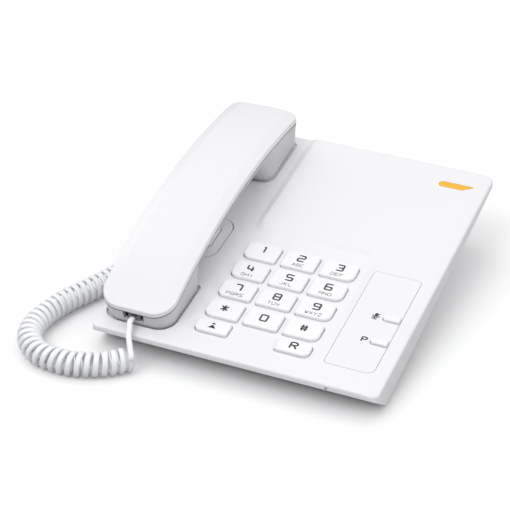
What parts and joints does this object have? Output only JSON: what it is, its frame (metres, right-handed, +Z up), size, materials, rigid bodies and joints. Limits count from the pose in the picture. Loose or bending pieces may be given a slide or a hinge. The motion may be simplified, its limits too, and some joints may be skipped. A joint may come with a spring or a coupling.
{
  "type": "corded desk telephone",
  "caption": "Sloping corded desk telephone with a side-lying handset, number keys, a side panel with function keys and a curly handset cord.",
  "frame": {"origin": "centre of the base's outline, on the surface that the rubber feet stand on", "axes": "+X to the user's right, +Y away from the user towards the raised back edge, +Z up"},
  "size_m": [0.2245, 0.2447, 0.0704],
  "materials": {
    "housing_white": "satin white ABS",
    "tray_white": "fine textured white ABS",
    "handset_white": "satin white ABS",
    "key_white": "smooth white plastic with printed characters",
    "lens_orange": "translucent amber plastic",
    "led_orange": "clear tinted epoxy",
    "board_green": "solder mask on laminate",
    "rubber_grey": "matt rubber",
    "black_plastic": "moulded black plastic",
    "steel": "zinc plated steel",
    "cord_white": "smooth soft PVC",
    "plug_white": "clear moulded plastic over a white cord"
  },
  "bodies": {
    "base": {"upper_housing": "housing_white", "lower_housing": "tray_white", "side_panel": "housing_white", "indicator_lens": "lens_orange", "indicator_led": "led_orange", "main_board": "board_green", "keypad_mat": "rubber_grey", "ringer": "black_plastic", "hook_board": "board_green", "hook_switch": "black_plastic", "line_jack": "black_plastic", "base_cord_jack": "black_plastic", "rubber_feet": "rubber_grey", "housing_screws": "steel", "board_screws": "steel", "handset_lead": "cord_white", "curly_cord": "cord_white", "base_lead": "cord_white", "base_plug": "plug_white"},
    "handset": {"handset_cover": "handset_white", "handset_shell": "handset_white", "receiver": "black_plastic", "receiver_gasket": "rubber_grey", "microphone": "steel", "microphone_boot": "rubber_grey", "handset_weight": "steel", "handset_jack": "black_plastic", "handset_screws": "steel", "handset_plug": "plug_white"},
    "hook": {"hook_plunger": "housing_white"},
    "key_1_button": {"key_1": "key_white"},
    "key_2_button": {"key_2": "key_white"},
    "key_3_button": {"key_3": "key_white"},
    "key_4_button": {"key_4": "key_white"},
    "key_5_button": {"key_5": "key_white"},
    "key_6_button": {"key_6": "key_white"},
    "key_7_button": {"key_7": "key_white"},
    "key_8_button": {"key_8": "key_white"},
    "key_9_button": {"key_9": "key_white"},
    "key_star_button": {"key_star": "key_white"},
    "key_0_button": {"key_0": "key_white"},
    "key_hash_button": {"key_hash": "key_white"},
    "key_redial_button": {"key_redial": "key_white"},
    "key_flash_button": {"key_flash": "key_white"},
    "key_mute_button": {"key_mute": "key_white"},
    "key_pause_button": {"key_pause": "key_white"}
  },
  "joints": [
    {"name": "handset_lift", "type": "slide", "parent": "base", "child": "handset", "axis": [0, -0.1392, 0.9903], "range_m": [0, 0.08]},
    {"name": "hook_rise", "type": "slide", "parent": "base", "child": "hook", "axis": [0, -0.1392, 0.9903], "range_m": [0, 0.0035]},
    {"name": "key_1_press", "type": "slide", "parent": "base", "child": "key_1_button", "axis": [0, 0.1392, -0.9903], "range_m": [0, 0.0015], "stiffness_N_per_m": 400, "springref_m": -0.0003},
    {"name": "key_2_press", "type": "slide", "parent": "base", "child": "key_2_button", "axis": [0, 0.1392, -0.9903], "range_m": [0, 0.0015], "stiffness_N_per_m": 400, "springref_m": -0.0003},
    {"name": "key_3_press", "type": "slide", "parent": "base", "child": "key_3_button", "axis": [0, 0.1392, -0.9903], "range_m": [0, 0.0015], "stiffness_N_per_m": 400, "springref_m": -0.0003},
    {"name": "key_4_press", "type": "slide", "parent": "base", "child": "key_4_button", "axis": [0, 0.1392, -0.9903], "range_m": [0, 0.0015], "stiffness_N_per_m": 400, "springref_m": -0.0003},
    {"name": "key_5_press", "type": "slide", "parent": "base", "child": "key_5_button", "axis": [0, 0.1392, -0.9903], "range_m": [0, 0.0015], "stiffness_N_per_m": 400, "springref_m": -0.0003},
    {"name": "key_6_press", "type": "slide", "parent": "base", "child": "key_6_button", "axis": [0, 0.1392, -0.9903], "range_m": [0, 0.0015], "stiffness_N_per_m": 400, "springref_m": -0.0003},
    {"name": "key_7_press", "type": "slide", "parent": "base", "child": "key_7_button", "axis": [0, 0.1392, -0.9903], "range_m": [0, 0.0015], "stiffness_N_per_m": 400, "springref_m": -0.0003},
    {"name": "key_8_press", "type": "slide", "parent": "base", "child": "key_8_button", "axis": [0, 0.1392, -0.9903], "range_m": [0, 0.0015], "stiffness_N_per_m": 400, "springref_m": -0.0003},
    {"name": "key_9_press", "type": "slide", "parent": "base", "child": "key_9_button", "axis": [0, 0.1392, -0.9903], "range_m": [0, 0.0015], "stiffness_N_per_m": 400, "springref_m": -0.0003},
    {"name": "key_star_press", "type": "slide", "parent": "base", "child": "key_star_button", "axis": [0, 0.1392, -0.9903], "range_m": [0, 0.0015], "stiffness_N_per_m": 400, "springref_m": -0.0003},
    {"name": "key_0_press", "type": "slide", "parent": "base", "child": "key_0_button", "axis": [0, 0.1392, -0.9903], "range_m": [0, 0.0015], "stiffness_N_per_m": 400, "springref_m": -0.0003},
    {"name": "key_hash_press", "type": "slide", "parent": "base", "child": "key_hash_button", "axis": [0, 0.1392, -0.9903], "range_m": [0, 0.0015], "stiffness_N_per_m": 400, "springref_m": -0.0003},
    {"name": "key_redial_press", "type": "slide", "parent": "base", "child": "key_redial_button", "axis": [0, 0.1392, -0.9903], "range_m": [0, 0.0015], "stiffness_N_per_m": 400, "springref_m": -0.0003},
    {"name": "key_flash_press", "type": "slide", "parent": "base", "child": "key_flash_button", "axis": [0, 0.1392, -0.9903], "range_m": [0, 0.0015], "stiffness_N_per_m": 400, "springref_m": -0.0003},
    {"name": "key_mute_press", "type": "slide", "parent": "base", "child": "key_mute_button", "axis": [0, 0.1392, -0.9903], "range_m": [0, 0.0015], "stiffness_N_per_m": 400, "springref_m": -0.0003},
    {"name": "key_pause_press", "type": "slide", "parent": "base", "child": "key_pause_button", "axis": [0, 0.1392, -0.9903], "range_m": [0, 0.0015], "stiffness_N_per_m": 400, "springref_m": -0.0003}
  ],
  "couplings": [
    {"joint": "hook_rise", "follows": "handset_lift", "ratio": 0.04375}
  ]
}
